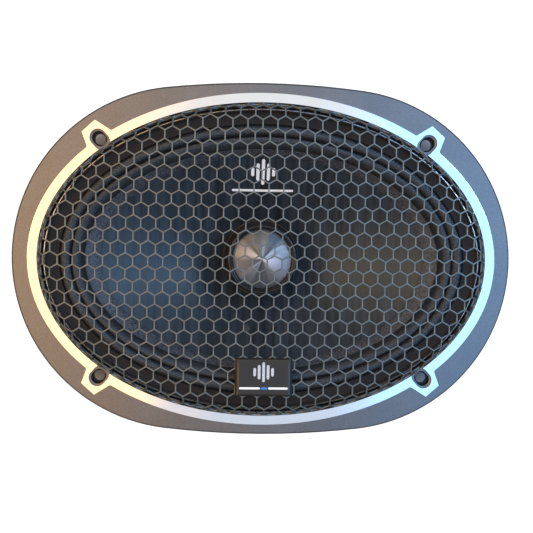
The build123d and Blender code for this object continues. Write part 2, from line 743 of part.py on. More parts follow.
# ---- tweeter filter and its wires ---------------------------------------------------------
with BuildPart() as capacitor:
    with BuildSketch(Plane.YZ.offset(capacitor_x)):
        with Locations((WIRE_Y, CAPACITOR_Z)):
            Circle(CAPACITOR_R)
    extrude(amount=-CAPACITOR_L)
    fillet(capacitor.edges().filter_by(GeomType.CIRCLE), radius=0.8)

with BuildPart() as capacitor_clip:
    with BuildSketch(Plane.YZ.offset(capacitor_x - (CAPACITOR_L - CLIP_W) / 2)):
        with Locations((WIRE_Y, CAPACITOR_Z)):
            Circle(CLIP_R)
            Rectangle(DRUM_R + WIRE_Y + CLIP_R, CLIP_W, align=(Align.MIN, Align.CENTER))
            Circle(CAPACITOR_R, mode=Mode.SUBTRACT)
    extrude(amount=-CLIP_W)
    with BuildSketch(Plane.XY.offset(MOTOR_Z)):
        Circle(DRUM_R)
    extrude(amount=SHELF_Z - MOTOR_Z, mode=Mode.SUBTRACT)

capacitor_end_x = capacitor_x - CAPACITOR_L
solder_y = BOSS_Y - BOARD_T - 1.85
solder_z = TERMINAL_Z - TERMINAL_T / 2
under_boss_z = BOSS_Z - 6.0
wire_routes = [
    [
        (-WIRE_X, 0, cup_floor_z),
        (-WIRE_X, 0, groove_z),
        (-WIRE_X, WIRE_Y, groove_z),
        (-WIRE_X, WIRE_Y, CAPACITOR_Z),
    ],
    [
        (WIRE_X, 0, cup_floor_z),
        (WIRE_X, 0, groove_z),
        (WIRE_X, WIRE_Y, groove_z),
        (WIRE_X, WIRE_Y, under_boss_z - 4.0),
        (TERMINAL_X, solder_y, under_boss_z),
        (TERMINAL_X, solder_y, solder_z),
    ],
    [
        (capacitor_end_x, WIRE_Y, CAPACITOR_Z),
        (capacitor_end_x - CAPACITOR_LEAD, WIRE_Y, CAPACITOR_Z),
        (capacitor_end_x - CAPACITOR_LEAD, WIRE_Y, under_boss_z - 2.0),
        (-TERMINAL_X, solder_y, under_boss_z),
        (-TERMINAL_X, solder_y, solder_z),
    ],
]
with BuildPart() as tweeter_leads:
    for route_points in wire_routes:
        add(wire(route_points, WIRE_R, WIRE_BEND))

# ---- export -------------------------------------------------------------------------------
pieces = {
    "basket": basket,
    "trim_ring": trim_ring,
    "grille": grille,
    "badge_plate": badge_plate,
    "badge_mark": badge_mark,
    "surround_gasket": surround_gasket,
    "mounting_gasket": mounting_gasket,
    "cone": cone,
    "surround": surround,
    "spider": spider,
    "voice_coil_former": voice_coil_former,
    "voice_coil_winding": voice_coil_winding,
    "dust_ring": dust_ring,
    "top_plate": top_plate,
    "magnet": magnet,
    "pole_yoke": pole_yoke,
    "magnet_boot": magnet_boot,
    "top_plate_screws": top_plate_screws,
    "tweeter_post": tweeter_post,
    "post_nut": post_nut,
    "tweeter_cup": tweeter_cup,
    "tweeter_yoke": tweeter_yoke,
    "tweeter_magnet": tweeter_magnet,
    "tweeter_top_plate": tweeter_top_plate,
    "tweeter_coil": tweeter_coil,
    "tweeter_dome": tweeter_dome,
    "tweeter_surround": tweeter_surround,
    "tweeter_bezel": tweeter_bezel,
    "terminal_board": terminal_board,
    "terminal_rivets": terminal_rivets,
    "terminal_positive": terminal_positive,
    "terminal_negative": terminal_negative,
    "lead_eyelets": lead_eyelets,
    "tinsel_lead_positive": tinsel_lead_positive,
    "tinsel_lead_negative": tinsel_lead_negative,
    "capacitor": capacitor,
    "capacitor_clip": capacitor_clip,
    "tweeter_leads": tweeter_leads,
}
for name, piece in pieces.items():
    piece.part.label = name
    export_step(piece.part, f"parts/{name}.step")
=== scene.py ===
import math

import bmesh
import bpy
import numpy as np
from mathutils import Matrix, Vector


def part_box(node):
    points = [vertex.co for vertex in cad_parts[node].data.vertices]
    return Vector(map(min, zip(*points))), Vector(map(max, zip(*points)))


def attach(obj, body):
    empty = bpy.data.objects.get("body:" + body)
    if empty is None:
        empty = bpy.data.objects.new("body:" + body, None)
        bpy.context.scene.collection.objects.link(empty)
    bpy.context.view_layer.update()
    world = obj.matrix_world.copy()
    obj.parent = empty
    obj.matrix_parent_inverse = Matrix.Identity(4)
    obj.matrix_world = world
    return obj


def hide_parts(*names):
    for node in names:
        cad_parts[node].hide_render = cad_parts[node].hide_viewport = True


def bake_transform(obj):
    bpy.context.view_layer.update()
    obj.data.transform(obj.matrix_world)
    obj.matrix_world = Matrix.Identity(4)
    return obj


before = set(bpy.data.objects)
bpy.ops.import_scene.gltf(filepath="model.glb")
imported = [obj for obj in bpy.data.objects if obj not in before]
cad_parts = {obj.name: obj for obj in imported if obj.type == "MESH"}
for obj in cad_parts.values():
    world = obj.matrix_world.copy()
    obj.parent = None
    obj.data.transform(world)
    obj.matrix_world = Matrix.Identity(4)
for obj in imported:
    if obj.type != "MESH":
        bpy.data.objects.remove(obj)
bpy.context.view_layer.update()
MM = 0.001

# ---- sizes in millimetres, from the frame where it states them ----------------------------


def node_box(name):
    """Lowest and highest corners of a CAD node, in millimetres."""
    low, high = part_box(name)
    return low / MM, high / MM


ring_low, ring_high = node_box("trim_ring")
grille_low, grille_high = node_box("grille")
gasket_low, gasket_high = node_box("surround_gasket")
cone_low, cone_high = node_box("cone")
dome_low, dome_high = node_box("tweeter_dome")
bezel_low, bezel_high = node_box("tweeter_bezel")
badge_low, badge_high = node_box("badge_plate")
spider_low, spider_high = node_box("spider")
former_high = node_box("voice_coil_former")[1]
back_z = node_box("pole_yoke")[0].z

OVALITY = grille_high.x - grille_high.y  # every oval's long half-axis less its short one
ROUND = 192  # steps round a turned or swept piece

RING_TOP = ring_high.z
RING_INNER = 107.2  # long half-axes of the trim ring
RING_OUTER = 111.7
HOLE_X, HOLE_Y = 78.0, 56.5
SLOT_ANGLE = math.radians(48)
SLOT_R = 4.0
SLOT_OUT, SLOT_IN = 0.8, 1.8  # how far the slot's ends lie past the hole, each way
EAR_POINTS = [(83.0, 51.0), (86.2, 59.7), (80.0, 65.3), (69.0, 58.4)]

GRILLE_TOP = grille_high.z
GRILLE_SKIRT = grille_high.x
SHEET = 1.0
SHOULDER_R = 5.3
CELL_PITCH = 7.0  # from cell to cell
CELL_ROW = 5.95  # from row to row
STRAND = 0.68  # metal between two cells
STRAND_ROUND = 0.13  # the pressed edge of each strand
CELL_ORIGIN = (-1.7, -1.4)
LATTICE_TURN = math.radians(-0.49)
PLATEAU = GRILLE_SKIRT - SHOULDER_R
SKIRT_BOTTOM = grille_low.z + 0.1
SHOULDER_RUN = SHOULDER_R * math.pi / 2
SKIRT_RUN = GRILLE_TOP - SHOULDER_R - SKIRT_BOTTOM

CONE_EDGE = cone_high.x
CONE_EDGE_Z = cone_high.z
NECK_R = former_high.x + 0.5
NECK_Z = cone_low.z + 1.0
GASKET_INNER = 97.2
ROLL_RISE = 2.6
ROLL_VALLEY, ROLL_CREST = 1.5, 2.9  # heights between which the surround's shine grows
CONE_MARK_Y = 43.2
CONE_LINE_Y = 34.4

DOME_RIM = dome_high.x + 0.9
DOME_RIM_Z = dome_low.z + 0.35
DOME_TOP_Z = dome_high.z - 1.2
BEZEL_BORE = 14.95

PAINT_LINE = 3.4  # grey paint above this height
PAINT_OVAL = (116.5, 83.5)  # and outside this oval
SHADOW_CENTRE = (2.75, -3.5)
SHADOW_OVAL = (119.0, 84.0)


# ---- mesh helpers -------------------------------------------------------------------------
def new_object(name, verts, faces, materials, body=None, smooth=True, uvs=None):
    """A mesh object from points in millimetres."""
    mesh = bpy.data.meshes.new(name)
    mesh.from_pydata([Vector(v) * MM for v in verts], [], faces)
    mesh.update()
    for mat in materials if isinstance(materials, (list, tuple)) else [materials]:
        mesh.materials.append(mat)
    if smooth:
        mesh.shade_smooth()
    if uvs is not None:
        layer = mesh.uv_layers.new(name="UVMap")
        for loop in mesh.loops:
            layer.data[loop.index].uv = uvs[loop.vertex_index]
    obj = bpy.data.objects.new(name, mesh)
    bpy.context.scene.collection.objects.link(obj)
    if body:
        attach(obj, body)
    return obj


def oval(a, angle):
    """A point of the ellipse family that runs round the cone."""
    return a * math.cos(angle), (a - OVALITY) * math.sin(angle)


def loop_mesh(rings, closed_profile):
    """Faces between rings of equal length, each ring a closed loop of points."""
    count, steps = len(rings), len(rings[0])
    verts = [p for ring in rings for p in ring]
    faces = []
    for i in range(count if closed_profile else count - 1):
        j = (i + 1) % count
        for k in range(steps):
            m = (k + 1) % steps
            faces.append((i * steps + k, i * steps + m, j * steps + m, j * steps + k))
    return verts, faces


def swept_oval(profile, steps=ROUND):
    """A section of (oval, height) points carried round the cone."""
    turns = [math.tau * k / steps for k in range(steps)]
    rings = [[(*oval(a, t), z) for t in turns] for a, z in profile]
    return loop_mesh(rings, True)


def turned(profile):
    """A section of (radius, height) points turned about the speaker's axis."""
    turns = [math.tau * k / ROUND for k in range(ROUND)]
    rings = [[(r * math.cos(t), r * math.sin(t), z) for t in turns] for r, z in profile]
    return loop_mesh(rings, True)


def arc(centre, radius, start, end, steps):
    """Points of an arc, angles in degrees."""
    angles = [math.radians(start + (end - start) * i / steps) for i in range(steps + 1)]
    return [(centre[0] + radius * math.cos(t), centre[1] + radius * math.sin(t)) for t in angles]


def face_up(obj):
    """Turns all faces outwards."""
    bm = bmesh.new()
    bm.from_mesh(obj.data)
    bmesh.ops.recalc_face_normals(bm, faces=bm.faces)
    bm.to_mesh(obj.data)
    bm.free()
    return obj


# ---- materials ----------------------------------------------------------------------------
class Look:
    """A material and short ways to add nodes to it."""

    def __init__(self, name, color, roughness, metallic=0.0, **sockets):
        self.mat = bpy.data.materials.new(name)
        self.mat.use_nodes = True
        self.tree = self.mat.node_tree
        self.shader = self.tree.nodes["Principled BSDF"]
        self.set("Base Color", (*color, 1.0))
        self.set("Roughness", roughness)
        self.set("Metallic", metallic)
        for socket, value in sockets.items():
            self.set(socket.replace("_", " "), value)

    def set(self, socket, value):
        self.shader.inputs[socket].default_value = value

    def node(self, kind, **settings):
        made = self.tree.nodes.new(kind)
        for key, value in settings.items():
            if key in made.inputs:
                made.inputs[key].default_value = value
            else:
                setattr(made, key, value)
        return made

    def link(self, out, to):
        self.tree.links.new(out, to)

    def coords(self, scale, kind="Object"):
        """Texture coordinates, scaled per axis."""
        where = self.node("ShaderNodeTexCoord")
        mapping = self.node("ShaderNodeMapping")
        mapping.inputs["Scale"].default_value = scale
        self.link(where.outputs[kind], mapping.inputs["Vector"])
        return mapping.outputs["Vector"]

    def axes(self, place):
        """X, Y and Z of a place, apart."""
        split = self.node("ShaderNodeSeparateXYZ")
        self.link(place, split.inputs[0])
        return split.outputs

    def math(self, operation, *values):
        """A sum over links and plain numbers."""
        made = self.node("ShaderNodeMath", operation=operation)
        for socket, value in zip(made.inputs, values):
            if isinstance(value, float):
                socket.default_value = value
            else:
                self.link(value, socket)
        return made.outputs[0]

    def length(self, place):
        """How far a place is from the origin."""
        made = self.node("ShaderNodeVectorMath", operation="LENGTH")
        self.link(place, made.inputs[0])
        return made.outputs["Value"]

    def noise(self, size_mm, detail=3.0, stretch=(1, 1, 1), roughness=0.5):
        """Noise with features of about this size, in millimetres."""
        per_m = 1 / (size_mm * MM)
        texture = self.node("ShaderNodeTexNoise", Detail=detail, Roughness=roughness, Scale=1.0)
        self.link(self.coords([per_m * s for s in stretch]), texture.inputs["Vector"])
        return texture.outputs["Fac"]

    def ramp(self, fac, stops):
        """A colour ramp over a factor, from (position, colour) stops."""
        ramp = self.node("ShaderNodeValToRGB")
        elements = ramp.color_ramp.elements
        while len(elements) < len(stops):
            elements.new(0.5)
        for element, (position, color) in zip(elements, stops):
            element.position = position
            element.color = (*color, 1.0) if len(color) == 3 else color
        self.link(fac, ramp.inputs["Fac"])
        return ramp.outputs["Color"]

    def grey(self, fac, low, high, start=0.0, end=1.0):
        """A number from low to high as the factor goes from start to end."""
        span = self.node("ShaderNodeMapRange")
        span.inputs["From Min"].default_value = start
        span.inputs["From Max"].default_value = end
        span.inputs["To Min"].default_value = low
        span.inputs["To Max"].default_value = high
        self.link(fac, span.inputs["Value"])
        return span.outputs["Result"]

    def shades(self, fac, color, dark, light, start=0.3, end=0.7):
        """A darker to a lighter shade of a colour as the factor goes from start to end."""
        return self.ramp(fac, [(start, scaled(color, dark)), (end, scaled(color, light))])

    def mix(self, fac, one, two, blend="MIX"):
        """Mixes two colours by a factor."""
        mix = self.node("ShaderNodeMix", data_type="RGBA", blend_type=blend)
        for socket, value in ((mix.inputs["Factor"], fac), (mix.inputs[6], one), (mix.inputs[7], two)):
            if isinstance(value, tuple):
                socket.default_value = (*value, 1.0)
            elif isinstance(value, float):
                socket.default_value = value
            else:
                self.link(value, socket)
        return mix.outputs[2]

    def color(self, out):
        self.link(out, self.shader.inputs["Base Color"])
        return self

    def rough(self, out):
        self.link(out, self.shader.inputs["Roughness"])
        return self

    def bump(self, height, strength, distance_mm, after=None):
        """Raises the surface by a height, on top of an earlier bump."""
        bump = self.node("ShaderNodeBump", Strength=strength, Distance=distance_mm * MM)
        self.link(height, bump.inputs["Height"])
        if after is not None:
            self.link(after, bump.inputs["Normal"])
        self.link(bump.outputs["Normal"], self.shader.inputs["Normal"])
        return bump.outputs["Normal"]


def scaled(color, k):
    return tuple(c * k for c in color)


def grained(name, color, roughness, metallic=0.0, size=0.6, depth=0.05, spread=0.12, **sockets):
    """A plain finish with fine grain in its colour, gloss and surface."""
    look = Look(name, color, roughness, metallic, **sockets)
    fine = look.noise(size, 4.0)
    broad = look.noise(size * 30, 3.0)
    look.color(look.shades(broad, color, 1 - spread, 1 + spread))
    look.rough(look.grey(fine, max(roughness - 0.08, 0.02), roughness + 0.08, 0.3, 0.7))
    look.bump(fine, 0.5, depth)
    return look.mat


def satin_paint():
    """Satin metallic grey paint with fine flake on the flange, and plain black below a set height inside an
    oval: down the slot pockets' walls and on the rest of the basket.
    """
    base, black = (0.212, 0.210, 0.207), (0.014, 0.014, 0.015)
    look = Look("satin_grey_paint", base, 0.42, 0.85)
    flake = look.noise(0.35, 2.0)
    cloud = look.noise(22.0, 4.0)
    tint = look.shades(cloud, base, 0.93, 1.06)
    speck = look.shades(flake, (1, 1, 1), 0.82, 1.12, 0.35, 0.65)
    height = look.axes(look.coords((1, 1, 1)))["Z"]
    above = look.grey(height, 0.0, 1.0, PAINT_LINE * MM, (PAINT_LINE + 0.1) * MM)
    reach = look.length(look.coords((1 / (PAINT_OVAL[0] * MM), 1 / (PAINT_OVAL[1] * MM), 0)))
    beyond = look.grey(reach, 0.0, 1.0, 1.0, 1.002)
    grey_paint = look.mix(1.0, tint, speck, "MULTIPLY")
    look.color(look.mix(look.math("MAXIMUM", above, beyond), black, grey_paint))
    look.rough(look.grey(cloud, 0.34, 0.42, 0.3, 0.7))
    look.bump(flake, 0.35, 0.03)
    return look.mat


def bright_metal():
    """The trim ring: polished, with faint long haze."""
    look = Look("bright_trim", (0.93, 0.93, 0.935), 0.16, 1.0)
    haze = look.noise(9.0, 3.0)
    look.rough(look.grey(haze, 0.12, 0.22, 0.3, 0.7))
    look.bump(look.noise(0.5, 2.0), 0.15, 0.01)
    return look.mat


def mesh_paint():
    """The grille: dark metallic semi-gloss coat over sheet steel."""
    base = (0.19, 0.21, 0.197)
    look = Look("grille_coat", base, 0.40, 0.7)
    fine = look.noise(0.5, 3.0)
    look.color(look.shades(look.noise(6.0, 3.0), base, 0.85, 1.12))
    look.rough(look.grey(fine, 0.34, 0.46, 0.3, 0.7))
    look.bump(fine, 0.25, 0.03)
    return look.mat


def cone_paper():
    """The cone: pressed pulp, faintly ribbed across, with a coat that keeps some gloss."""
    base, sheen = (0.030, 0.040, 0.048), (0.80, 0.96, 1.0, 1.0)
    look = Look("cone_pulp", base, 0.44, Specular_IOR_Level=0.75, Specular_Tint=sheen)
    fibre = look.noise(0.9, 5.0, stretch=(1, 0.5, 1))
    streak = look.noise(2.0, 2.0, stretch=(1, 0.06, 0.06))
    look.color(look.shades(streak, base, 0.6, 1.6))
    look.rough(look.grey(streak, 0.36, 0.54, 0.3, 0.7))
    ribs = look.bump(streak, 0.35, 0.12)
    look.bump(fibre, 0.35, 0.06, after=ribs)
    return look.mat


def cone_band():
    """The cone's outer band, where glue has left a rough speckled skin."""
    base, sheen = (0.05, 0.053, 0.06), (0.84, 0.95, 1.0, 1.0)
    look = Look("cone_band", base, 0.46, Specular_IOR_Level=0.9, Specular_Tint=sheen)
    speckle = look.noise(0.85, 4.0, roughness=0.65)
    look.color(look.shades(speckle, base, 0.35, 2.3, 0.40, 0.62))
    look.bump(speckle, 0.8, 0.25)
    return look.mat


def roll_cloth():
    """The surround: doped woven cloth, glossy on its crests and dull in its valleys."""
    base, sheen, thread = (0.012, 0.012, 0.013), (0.80, 0.93, 1.0, 1.0), 0.62
    look = Look("roll_cloth", base, 0.30, Specular_IOR_Level=1.0, Specular_Tint=sheen)
    cloth_axes = look.axes(look.coords((1, 1, 1), "UV"))
    warp, weft = [look.math("SINE", look.math("MULTIPLY", cloth_axes[a], math.tau / thread)) for a in "XY"]
    lumps = look.noise(0.75, 4.0, roughness=0.6)
    look.color(look.shades(lumps, base, 0.6, 2.6, 0.38, 0.66))
    height = look.axes(look.coords((1, 1, 1)))["Z"]
    valley = look.grey(height, 0.95, 0.18, ROLL_VALLEY * MM, ROLL_CREST * MM)
    look.rough(look.math("MAXIMUM", look.grey(lumps, 0.42, 0.20, 0.35, 0.65), valley))
    threads = look.bump(look.math("MULTIPLY", warp, weft), 0.35, 0.08)
    look.bump(lumps, 0.9, 0.35, after=threads)
    return look.mat


def turned_metal():
    """The tweeter dome: lathe-turned, so its shine spreads along the radius; uneven wedges of painted
    highlight and painted shade are laid into its colour, strongest near the tip.
    """
    base = (0.30, 0.305, 0.31)
    look = Look("turned_dome", base, 0.36, 1.0, Anisotropic=1.0, Anisotropic_Rotation=0.25)
    tangent = look.node("ShaderNodeTangent", direction_type="RADIAL", axis="Z")
    look.link(tangent.outputs[0], look.shader.inputs["Tangent"])
    flat = look.coords((1, 1, 0))
    radius = look.length(flat)
    grooves = look.node("ShaderNodeTexNoise", noise_dimensions="1D", Scale=2600.0, Detail=3.0)
    look.link(radius, grooves.inputs["W"])
    rings = look.shades(grooves.outputs["Fac"], base, 0.86, 1.1, 0.35, 0.65)
    bearing = look.node("ShaderNodeVectorMath", operation="NORMALIZE")
    look.link(flat, bearing.inputs[0])
    # Lighter and darker sectors round the axis, multiplied into the colour near the tip: painted highlight
    # and shade in wedges, on top of the shine that the turning spreads along the radius.
    sectors = look.node("ShaderNodeTexNoise", Scale=1.5, Detail=1.0)
    look.link(bearing.outputs["Vector"], sectors.inputs["Vector"])
    painted_highlight_wedges = look.shades(sectors.outputs["Fac"], (1, 1, 1), 0.45, 2.6, 0.40, 0.60)
    near_tip = look.grey(radius, 1.0, 0.3, 3.0 * MM, 11.0 * MM)
    look.color(look.mix(near_tip, rings, painted_highlight_wedges, "MULTIPLY"))
    look.bump(grooves.outputs["Fac"], 0.12, 0.02)
    return look.mat


def spun_cotton():
    """The spider: resin-treated open weave."""
    base, thread = (0.55, 0.40, 0.17), 3.15
    look = Look("spider_weave", base, 0.8, 0.0, Sheen_Weight=0.2)
    threads = []
    for axis in "XY":
        wave = look.node("ShaderNodeTexWave", wave_type="BANDS", bands_direction=axis, Scale=1.0)
        look.link(look.coords([1 / (thread * MM)] * 3), wave.inputs["Vector"])
        threads.append(wave.outputs["Fac"])
    open_weave = look.math("MULTIPLY", *threads)
    look.color(look.shades(open_weave, base, 0.5, 1.15, 0.0, 0.5))
    look.bump(open_weave, 0.7, 0.2)
    return look.mat


def plated_steel(name, color, roughness=0.32):
    """Machined and plated steel, with rings from the lathe."""
    look = Look(name, color, roughness, 1.0)
    rings = look.noise(0.5, 2.0, stretch=(0.3, 0.3, 3.0))
    haze = look.noise(8.0, 4.0)
    look.color(look.shades(haze, color, 0.82, 1.08))
    look.rough(look.grey(haze, roughness - 0.08, roughness + 0.12, 0.3, 0.7))
    look.bump(rings, 0.2, 0.03)
    return look.mat


def braided_copper():
    """The tinsel leads: copper braid."""
    look = Look("tinsel_braid", (0.50, 0.27, 0.12), 0.45, 0.6)
    braid = look.noise(0.5, 2.0, stretch=(1, 1, 3))
    look.color(look.ramp(braid, [(0.4, (0.16, 0.07, 0.03)), (0.6, (0.72, 0.44, 0.22))]))
    look.bump(braid, 0.8, 0.15)
    return look.mat


paint = satin_paint()
trim = bright_metal()
coat = mesh_paint()
pulp = cone_paper()
band = cone_band()
cloth = roll_cloth()
dome_metal = turned_metal()
weave = spun_cotton()
tinsel = braided_copper()
bead_gloss = grained("bead_gloss", (0.55, 0.54, 0.52), 0.24, 1.0, size=2.0, depth=0.02)
gloss_black = grained("gloss_black", (0.012, 0.012, 0.013), 0.12, size=3.0, depth=0.01, Coat_Weight=0.5)
badge_black = grained(
    "badge_black", (0.026, 0.022, 0.015), 0.10, size=4.0, depth=0.008, Specular_IOR_Level=0.6
)
rubber = grained(
    "gasket_rubber", (0.014, 0.012, 0.010), 0.6, size=0.9, depth=0.06, Specular_IOR_Level=0.35
)
satin_black = grained("satin_black", (0.016, 0.016, 0.017), 0.42, size=0.8, depth=0.05)
# White print that also glows a little though it is no lamp: a painted glow that brightens it.
white_print_painted_glow = grained(
    "white_print_painted_glow", (0.86, 0.87, 0.88), 0.45, size=0.8, depth=0.02, spread=0.04, Emission_Strength=0.3
)
print_silver = grained("print_silver", (0.80, 0.80, 0.82), 0.22, 0.6, size=0.6, depth=0.01, spread=0.05)
print_blue = grained("print_blue", (0.06, 0.25, 0.75), 0.35, size=0.6, depth=0.01, spread=0.05)

NODE_LOOKS = {
    "basket": paint,
    "mounting_gasket": grained("foam_black", (0.02, 0.02, 0.02), 0.9, size=0.7, depth=0.3),
    "top_plate": plated_steel("zinc_plate", (0.56, 0.56, 0.55)),
    "pole_yoke": plated_steel("zinc_yoke", (0.56, 0.56, 0.55)),
    "magnet": grained("ferrite", (0.055, 0.055, 0.058), 0.55, 0.3, size=0.9, depth=0.08),
    "magnet_boot": grained("boot_rubber", (0.016, 0.016, 0.017), 0.6, size=0.6, depth=0.08),
    "top_plate_screws": plated_steel("black_zinc", (0.12, 0.12, 0.125)),
    "tweeter_post": plated_steel("post_zinc", (0.58, 0.58, 0.57)),
    "post_nut": plated_steel("nut_zinc", (0.60, 0.59, 0.55)),
    "tweeter_cup": grained("cup_plastic", (0.014, 0.014, 0.015), 0.45, size=0.5, depth=0.05),
    "tweeter_yoke": plated_steel("tweeter_steel", (0.5, 0.5, 0.5)),
    "tweeter_magnet": plated_steel("nickel", (0.68, 0.66, 0.62), 0.2),
    "tweeter_top_plate": plated_steel("tweeter_plate_steel", (0.5, 0.5, 0.5)),
    "tweeter_coil": grained("fine_copper", (0.72, 0.30, 0.14), 0.3, 1.0, size=0.2, depth=0.05),
    "voice_coil_former": grained("former_film", (0.035, 0.033, 0.032), 0.45, size=1.5, depth=0.02),
    "dust_ring": grained("felt", (0.02, 0.02, 0.021), 0.95, size=0.4, depth=0.3, Sheen_Weight=0.3),
    "terminal_board": grained("phenolic", (0.20, 0.085, 0.03), 0.4, size=0.7, depth=0.04, spread=0.25),
    "terminal_rivets": plated_steel("rivet_alloy", (0.70, 0.70, 0.70)),
    "terminal_positive": plated_steel("tinned_brass", (0.72, 0.66, 0.48)),
    "terminal_negative": plated_steel("tinned_brass_small", (0.72, 0.66, 0.48)),
    "lead_eyelets": plated_steel("solder", (0.62, 0.62, 0.62)),
    "capacitor_clip": grained("clip_plastic", (0.02, 0.02, 0.02), 0.5),
    "tweeter_leads": grained("lead_sleeve", (0.35, 0.02, 0.015), 0.4, size=0.8, depth=0.03),
}
for node_name, look_mat in NODE_LOOKS.items():
    node_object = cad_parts[node_name]
    node_object.data.materials.clear()
    node_object.data.materials.append(look_mat)


# ---- grille -------------------------------------------------------------------------------
def oval_place(x, y):
    """Which oval of the family a point is on, and its angle."""
    a = max(math.hypot(x, y), abs(x), OVALITY + 1)
    for _ in range(40):
        b = a - OVALITY
        value = (x / a) ** 2 + (y / b) ** 2 - 1
        slope = -2 * x * x / a**3 - 2 * y * y / b**3
        step = value / slope if slope else 0.0
        a = max(a - step, OVALITY + 0.5)
        if abs(step) < 1e-7:
            break
    return a, math.atan2(y / (a - OVALITY), x / a)


def press(x, y, depth):
    """Where a point of the flat perforated sheet ends up once the sheet is pressed to shape."""
    inside = (x / PLATEAU) ** 2 + (y / (PLATEAU - OVALITY)) ** 2
    if inside <= 1:
        return x, y, GRILLE_TOP - depth
    a, angle = oval_place(x, y)
    run = min(a - PLATEAU, SHOULDER_RUN + SKIRT_RUN)
    bend = min(run / SHOULDER_R, math.pi / 2)
    down = max(run - SHOULDER_RUN, 0.0)
    out = PLATEAU + SHOULDER_R * math.sin(bend) - depth * math.sin(bend)
    z = GRILLE_TOP - SHOULDER_R * (1 - math.cos(bend)) - down - depth * math.cos(bend)
    return (*oval(out, angle), z)


def honeycomb():
    """The perforated sheet: strands and junctions round every cell, top, bottom and walls."""
    reach = PLATEAU + SHOULDER_RUN + SKIRT_RUN + CELL_PITCH
    rows = math.ceil((reach - OVALITY) / CELL_ROW) + 1
    columns = math.ceil(reach / CELL_PITCH) + 1
    hole_r = (CELL_PITCH - STRAND) / math.sqrt(3)
    squash = CELL_ROW / (CELL_PITCH * math.sqrt(3) / 2)
    layers = [(STRAND_ROUND, 0.0), (0.05, 0.07), (0.0, STRAND_ROUND)]
    layers += [(inset, SHEET - depth) for inset, depth in reversed(layers)]
    last = len(layers) - 1
    cells = {}
    for j in range(-rows, rows + 1):
        for i in range(-columns, columns + 1):
            x = CELL_ORIGIN[0] + (i + 0.5 * (j % 2)) * CELL_PITCH
            y = CELL_ORIGIN[1] + j * CELL_ROW
            x, y = (
                x * math.cos(LATTICE_TURN) - y * math.sin(LATTICE_TURN),
                x * math.sin(LATTICE_TURN) + y * math.cos(LATTICE_TURN),
            )
            if (x / reach) ** 2 + (y / (reach - OVALITY)) ** 2 < 1:
                cells[i, j] = (x, y)
    verts, index = [], {}
    for key, (x, y) in cells.items():
        for k in range(6):
            angle = math.radians(30 + 60 * k) + LATTICE_TURN
            for layer, (inset, depth) in enumerate(layers):
                px = x + (hole_r + inset) * math.cos(angle)
                py = y + (hole_r + inset) * math.sin(angle) * squash
                index[key, k, layer] = len(verts)
                verts.append(press(px, py, depth))
    faces = []
    for (i, j) in cells:
        odd = j % 2
        here, east = (i, j), (i + 1, j)
        north_east, north_west = (i + odd, j + 1), (i + odd - 1, j + 1)
        patches = []
        if east in cells:
            patches.append([(here, 5), (east, 3), (east, 2), (here, 0)])
        if north_east in cells:
            patches.append([(here, 0), (north_east, 4), (north_east, 3), (here, 1)])
        if north_west in cells:
            patches.append([(here, 1), (north_west, 5), (north_west, 4), (here, 2)])
        if north_east in cells and north_west in cells:
            patches.append([(here, 1), (north_east, 3), (north_west, 5)])
        if north_east in cells and east in cells:
            patches.append([(here, 0), (east, 2), (north_east, 4)])
        for patch in patches:
            faces.append([index[c, k, 0] for c, k in patch])
            faces.append([index[c, k, last] for c, k in reversed(patch)])
        for k in range(6):
            m = (k + 1) % 6
            around = [north_east, north_west, (i - 1, j), (i + odd - 1, j - 1), (i + odd, j - 1), east][k]
            if around in cells:
                for layer in range(last):
                    ring = [index[here, m, layer], index[here, k, layer]]
                    faces.append(ring + [index[here, k, layer + 1], index[here, m, layer + 1]])
    return verts, faces


def make_grille():
    """The pressed and perforated cap, and the plain hem at its foot."""
    verts, faces = honeycomb()
    grille = new_object("grille_mesh", verts, faces, coat)
    bm = bmesh.new()
    bm.from_mesh(grille.data)
    bottom = (SKIRT_BOTTOM + 0.02) * MM
    sunk = [f for f in bm.faces if all(v.co.z < bottom for v in f.verts)]
    bmesh.ops.delete(bm, geom=sunk, context="FACES")
    bmesh.ops.recalc_face_normals(bm, faces=bm.faces)
    bm.to_mesh(grille.data)
    bm.free()
    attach(grille, "basket")
    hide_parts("grille")
    hem_top = SKIRT_BOTTOM + 2.2
    hem_in, hem_out = GRILLE_SKIRT - SHEET, GRILLE_SKIRT - 0.02
    section = [(hem_in, SKIRT_BOTTOM), (hem_out, SKIRT_BOTTOM), (hem_out, hem_top), (hem_in, hem_top)]
    hem = face_up(new_object("grille_hem", *swept_oval(section), coat, "basket", smooth=False))


# ---- trim ring ----------------------------------------------------------------------------
def ellipse_meets_line(a, b, p, q):
    """Where the line from p to q leaves the ellipse."""
    dx, dy = q[0] - p[0], q[1] - p[1]
    qa = (dx / a) ** 2 + (dy / b) ** 2
    qb = 2 * (p[0] * dx / a**2 + p[1] * dy / b**2)
    qc = (p[0] / a) ** 2 + (p[1] / b) ** 2 - 1
    t = (-qb + math.sqrt(qb * qb - 4 * qa * qc)) / (2 * qa)
    return p[0] + t * dx, p[1] + t * dy


def rounded(points, radii, steps=6):
    """A polyline with the corners that have a radius turned into arcs."""
    out = []
    for i, (p, r) in enumerate(zip(points, radii)):
        if not r:
            out.append(p)
            continue
        here = Vector(p)
        back = (Vector(points[i - 1]) - here).normalized()
        on = (Vector(points[i + 1]) - here).normalized()
        half = back.angle(on) / 2
        reach = r / math.tan(half)
        centre = here + (back + on).normalized() * (r / math.sin(half))
        first, last = here + back * reach, here + on * reach
        start = math.atan2(first.y - centre.y, first.x - centre.x)
        turn = math.atan2(last.y - centre.y, last.x - centre.x) - start
        turn = (turn + math.pi) % math.tau - math.pi
        for k in range(steps + 1):
            t = start + turn * k / steps
            out.append((centre.x + r * math.cos(t), centre.y + r * math.sin(t)))
    return out


